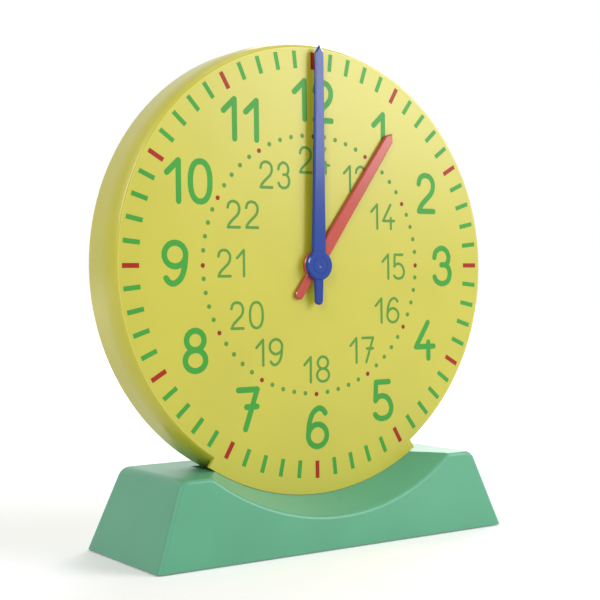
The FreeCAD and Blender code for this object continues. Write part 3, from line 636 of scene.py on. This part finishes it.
def studio_floor():
    material, tree = new_material("Matt white studio sheet")
    sheet = add(tree, "ShaderNodeBsdfDiffuse", {"Color": linear("#F4F4F4")})
    place = add(tree, "ShaderNodeTexCoord").outputs["Object"]
    away = add(tree, "ShaderNodeVectorMath", {0: place}, operation="LENGTH")
    curve = add(tree, "ShaderNodeMapRange", {
        "Value": away.outputs["Value"], "From Min": NEAR_DISTANCE, "From Max": FAR_DISTANCE,
        "To Min": NEAR_GLOW, "To Max": FAR_GLOW}, interpolation_type="SMOOTHSTEP")
    glow_strength = add(tree, "ShaderNodeMath", {
        0: seen_directly(tree), 1: curve.outputs["Result"]}, operation="MULTIPLY")
    glow = add(tree, "ShaderNodeEmission", {"Strength": glow_strength.outputs["Value"]})
    both = add(tree, "ShaderNodeAddShader", {
        0: sheet.outputs["BSDF"], 1: glow.outputs["Emission"]})
    add(tree, "ShaderNodeOutputMaterial", {"Surface": both.outputs["Shader"]})
    shape = bmesh.new()
    bmesh.ops.create_circle(shape, cap_ends=True, segments=96, radius=FLOOR_RADIUS)
    mesh = bpy.data.meshes.new("studio_floor")
    shape.to_mesh(mesh)
    shape.free()
    mesh.materials.append(material)
    floor = bpy.data.objects.new("studio_floor", mesh)
    bpy.context.collection.objects.link(floor)


studio_floor()
print("floor laid at height 0, radius", FLOOR_RADIUS, "m")

# %% Background
AMBIENT = 0.24
world = bpy.data.worlds.new("White studio")
bpy.context.scene.world = world
world.use_nodes = True
world.node_tree.nodes.clear()
brightness = add(world.node_tree, "ShaderNodeMapRange", {
    "Value": seen_directly(world.node_tree), "To Min": AMBIENT, "To Max": 1.0})
background = add(world.node_tree, "ShaderNodeBackground", {
    "Color": linear("#FFFFFF"), "Strength": brightness.outputs["Result"]})
add(world.node_tree, "ShaderNodeOutputWorld", {"Surface": background.outputs["Background"]})
print("ambient light", AMBIENT)

# %% [markdown]
# Five soft lamps
#
# All the lamps are soft boxes that point at the middle of the clock. A broad one on the right gives
# the pale sheen on the upper dial and the hands' shadows to their left. A broad, weak one on the
# left opens the shaded wall of the drum, and a narrow strip beside it draws the bright line on the
# stand's corner and on the rim of the hub. The one behind, on the right, lights the back without
# leaving a streak on the wall, and a weak one overhead lifts what faces up.

# %% Lamps
LAMP_AIM = Vector((0, 0, 0.2))
lamps = {
    "key_right": {"place": (1.45, -1.41, 1.09), "size": (1.34, 1.34), "watts": 33},
    "fill_left": {"place": (-1.6, -0.2, 1.4), "size": (1.6, 1.6), "watts": 9},
    "strip_left": {"place": (-1.3, -1.05, 1.1), "size": (0.25, 0.9), "watts": 9.5},
    "back_right": {"place": (1.3, 1.1, 1.1), "size": (1.2, 1.2), "watts": 22},
    "top": {"place": (0.1, 0.1, 2.0), "size": (1.0, 1.0), "watts": 3.5},
}


def softbox(name, place, size, watts):
    light = bpy.data.lights.new(name, "AREA")
    light.shape = "RECTANGLE"
    light.size, light.size_y = size
    light.energy = watts
    lamp = bpy.data.objects.new(name, light)
    bpy.context.collection.objects.link(lamp)
    lamp.location = place
    lamp.rotation_euler = (LAMP_AIM - Vector(place)).to_track_quat("-Z", "Y").to_euler()


for name, settings in lamps.items():
    softbox(name, **settings)
print("lamps:", ", ".join(lamps))

# %% [markdown]
# The camera
#
# The camera stands to the left of the clock, level with the dial, and is rolled very slightly, as a
# hand-levelled one is. Its direction is given by three angles. Building its matrix from them shows
# what each does, and avoids a helper that would depend on the size of the picture.

# %% Camera
SENSOR_MM = 36.0
LENS_MM = 76.54
yaw, pitch, roll = (math.radians(angle) for angle in (33.980, -0.481, -0.731))
forward = Vector((math.sin(yaw) * math.cos(pitch), math.cos(yaw) * math.cos(pitch),
                  math.sin(pitch)))
level_right = Vector((math.cos(yaw), -math.sin(yaw), 0))
level_up = level_right.cross(forward)
right = math.cos(roll) * level_right + math.sin(roll) * level_up
up = -math.sin(roll) * level_right + math.cos(roll) * level_up
facing = Matrix((right, up, -forward)).transposed().to_4x4()

lens = bpy.data.cameras.new("camera")
lens.sensor_width = SENSOR_MM
lens.lens = LENS_MM
camera = bpy.data.objects.new("camera", lens)
bpy.context.collection.objects.link(camera)
# Left of the dial's centre, in front of its face and a little below its middle.
viewpoint = Vector((-0.5246, dial_front - 0.7585, axis_z - 0.0170))
camera.matrix_world = Matrix.Translation(viewpoint) @ facing
bpy.context.scene.camera = camera
bpy.context.scene.view_settings.view_transform = "Standard"
print("camera looks along", [round(value, 3) for value in forward])
